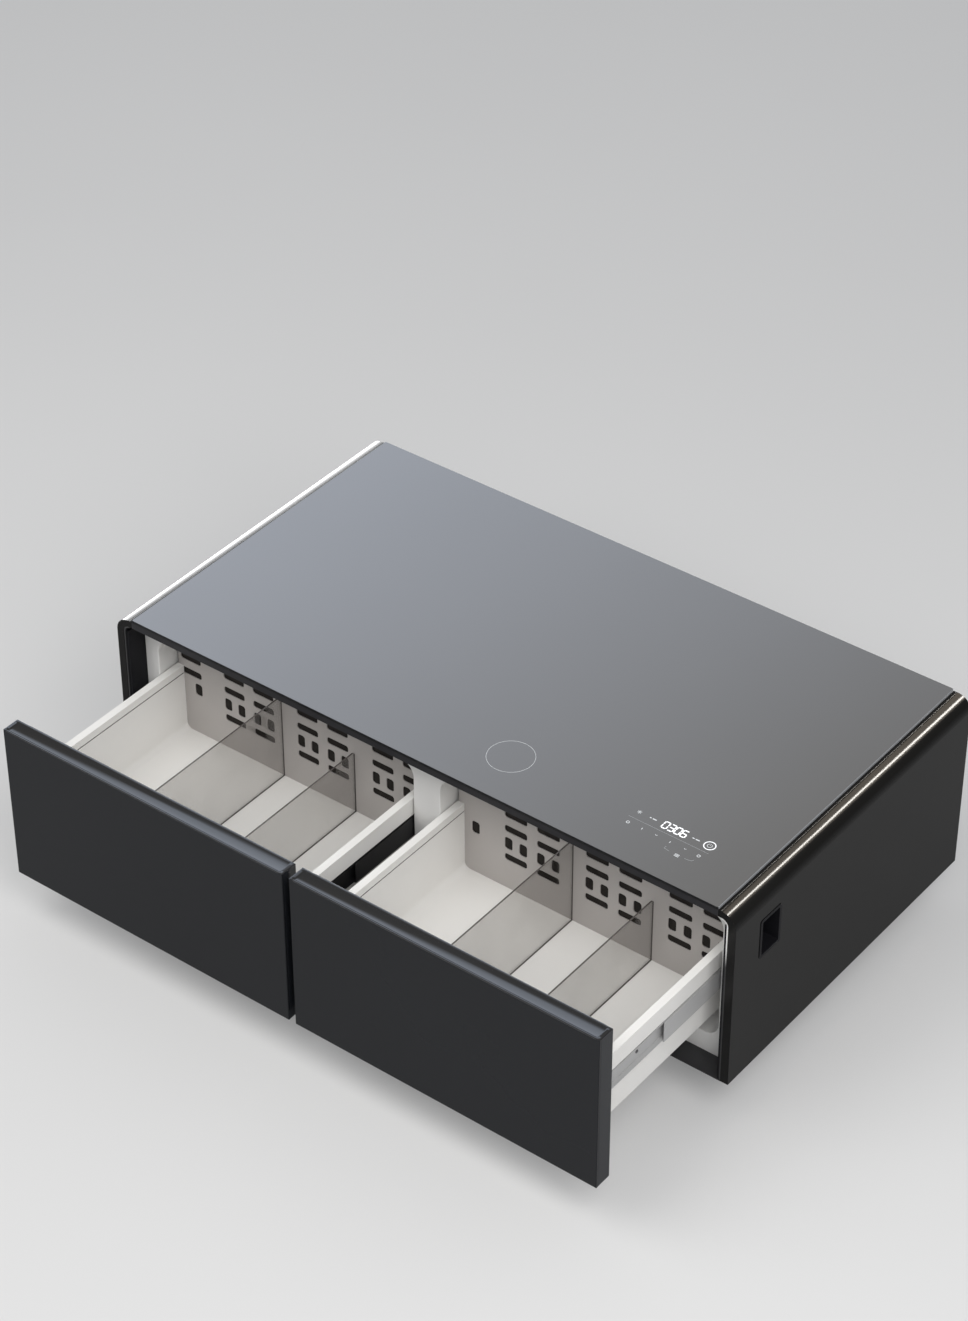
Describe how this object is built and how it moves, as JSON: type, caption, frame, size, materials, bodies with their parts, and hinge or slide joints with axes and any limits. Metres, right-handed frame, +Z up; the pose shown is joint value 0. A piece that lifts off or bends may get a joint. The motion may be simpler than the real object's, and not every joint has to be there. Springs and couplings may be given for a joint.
{
  "type": "refrigerator coffee table",
  "caption": "Low coffee table with a glass top over two refrigerated drawers on telescopic slides.",
  "frame": {"origin": "on the floor under the middle of the cabinet, midway between its front and back", "axes": "+X to the right along the drawer side, +Y from the drawers to the back, +Z up"},
  "size_m": [1.3011, 1.0195, 0.45],
  "materials": {
    "lacquered_glass": "gloss",
    "gunmetal_shell": "gloss",
    "black_glass": "gloss",
    "black_moulding": "gloss",
    "pale_trim": "satin",
    "white_liner": "satin",
    "white_bin": "satin",
    "panel_grey": "satin",
    "clear_acrylic": "gloss",
    "slide_steel": "satin",
    "seal_rubber": "matt",
    "foam": "matt",
    "zinc_steel": "satin",
    "black_steel": "satin",
    "compressor_black": "gloss",
    "fin_aluminium": "satin",
    "copper": "satin",
    "black_plastic": "satin",
    "board": "satin",
    "diffuser": "satin",
    "grommet_rubber": "matt",
    "foot_plastic": "satin"
  },
  "bodies": {
    "cabinet": {"glass_top": "lacquered_glass", "socket_box": "black_plastic", "socket_outlet": "black_plastic", "top_deck": "black_moulding", "charging_pad": "black_plastic", "display_module": "board", "front_trim": "pale_trim", "recess_cheeks": "black_moulding", "floor_plate": "black_steel", "back_panel": "black_steel", "power_inlet": "black_plastic", "insulation": "foam", "bay_wall": "zinc_steel", "compressor": "compressor_black", "compressor_grommets": "grommet_rubber", "condenser": "fin_aluminium", "cooling_fan_frame": "black_plastic", "refrigerant_pipe": "copper", "drain_pan": "black_plastic", "control_box": "black_plastic", "power_supply": "zinc_steel", "base_frame": "black_steel", "levelling_feet": "foot_plastic", "left_side_panel": "gunmetal_shell", "right_side_panel": "gunmetal_shell", "left_liner": "white_liner", "right_liner": "white_liner", "left_cabinet_rails": "slide_steel", "left_light_strip": "diffuser", "left_evaporator": "fin_aluminium", "left_evaporator_cover": "white_liner", "right_cabinet_rails": "slide_steel", "right_light_strip": "diffuser", "right_evaporator": "fin_aluminium", "right_evaporator_cover": "white_liner"},
    "left_drawer": {"left_drawer_rails": "slide_steel", "left_drawer_fascia": "black_glass", "left_drawer_front": "black_moulding", "left_drawer_inner_panel": "white_liner", "left_drawer_gasket": "seal_rubber", "left_drawer_bin": "white_bin", "left_slotted_panel": "panel_grey", "left_tall_divider": "clear_acrylic", "left_low_divider": "clear_acrylic", "left_bin_screws": "slide_steel"},
    "left_middle_slide": {"left_middle_rails": "slide_steel"},
    "left_evaporator_fan": {"left_evaporator_fan": "black_plastic"},
    "right_drawer": {"right_drawer_rails": "slide_steel", "right_drawer_fascia": "black_glass", "right_drawer_front": "black_moulding", "right_drawer_inner_panel": "white_liner", "right_drawer_gasket": "seal_rubber", "right_drawer_bin": "white_bin", "right_slotted_panel": "panel_grey", "right_tall_divider": "clear_acrylic", "right_low_divider": "clear_acrylic", "right_bin_screws": "slide_steel"},
    "right_middle_slide": {"right_middle_rails": "slide_steel"},
    "right_evaporator_fan": {"right_evaporator_fan": "black_plastic"},
    "cooling_fan": {"cooling_fan_wheel": "black_plastic"}
  },
  "joints": [
    {"name": "left_drawer_slide", "type": "slide", "parent": "cabinet", "child": "left_drawer", "axis": [0, -1, 0], "range_m": [-0.318, 0.03]},
    {"name": "left_middle_slide", "type": "slide", "parent": "cabinet", "child": "left_middle_slide", "axis": [0, -1, 0], "range_m": [-0.159, 0.015]},
    {"name": "left_evaporator_fan_spin", "type": "hinge", "parent": "cabinet", "child": "left_evaporator_fan", "pos_m": [-0.16325, 0.08, 0.2596], "axis": [0, -1, 0], "continuous": true},
    {"name": "right_drawer_slide", "type": "slide", "parent": "cabinet", "child": "right_drawer", "axis": [0, -1, 0], "range_m": [-0.318, 0.03]},
    {"name": "right_middle_slide", "type": "slide", "parent": "cabinet", "child": "right_middle_slide", "axis": [0, -1, 0], "range_m": [-0.159, 0.015]},
    {"name": "right_evaporator_fan_spin", "type": "hinge", "parent": "cabinet", "child": "right_evaporator_fan", "pos_m": [0.46325, 0.08, 0.2596], "axis": [0, -1, 0], "continuous": true},
    {"name": "cooling_fan_spin", "type": "hinge", "parent": "cabinet", "child": "cooling_fan", "pos_m": [-0.04, 0.2305, 0.1692], "axis": [0, -1, 0], "continuous": true}
  ],
  "couplings": [
    {"joint": "left_middle_slide", "follows": "left_drawer_slide", "ratio": 0.5},
    {"joint": "right_middle_slide", "follows": "right_drawer_slide", "ratio": 0.5}
  ]
}
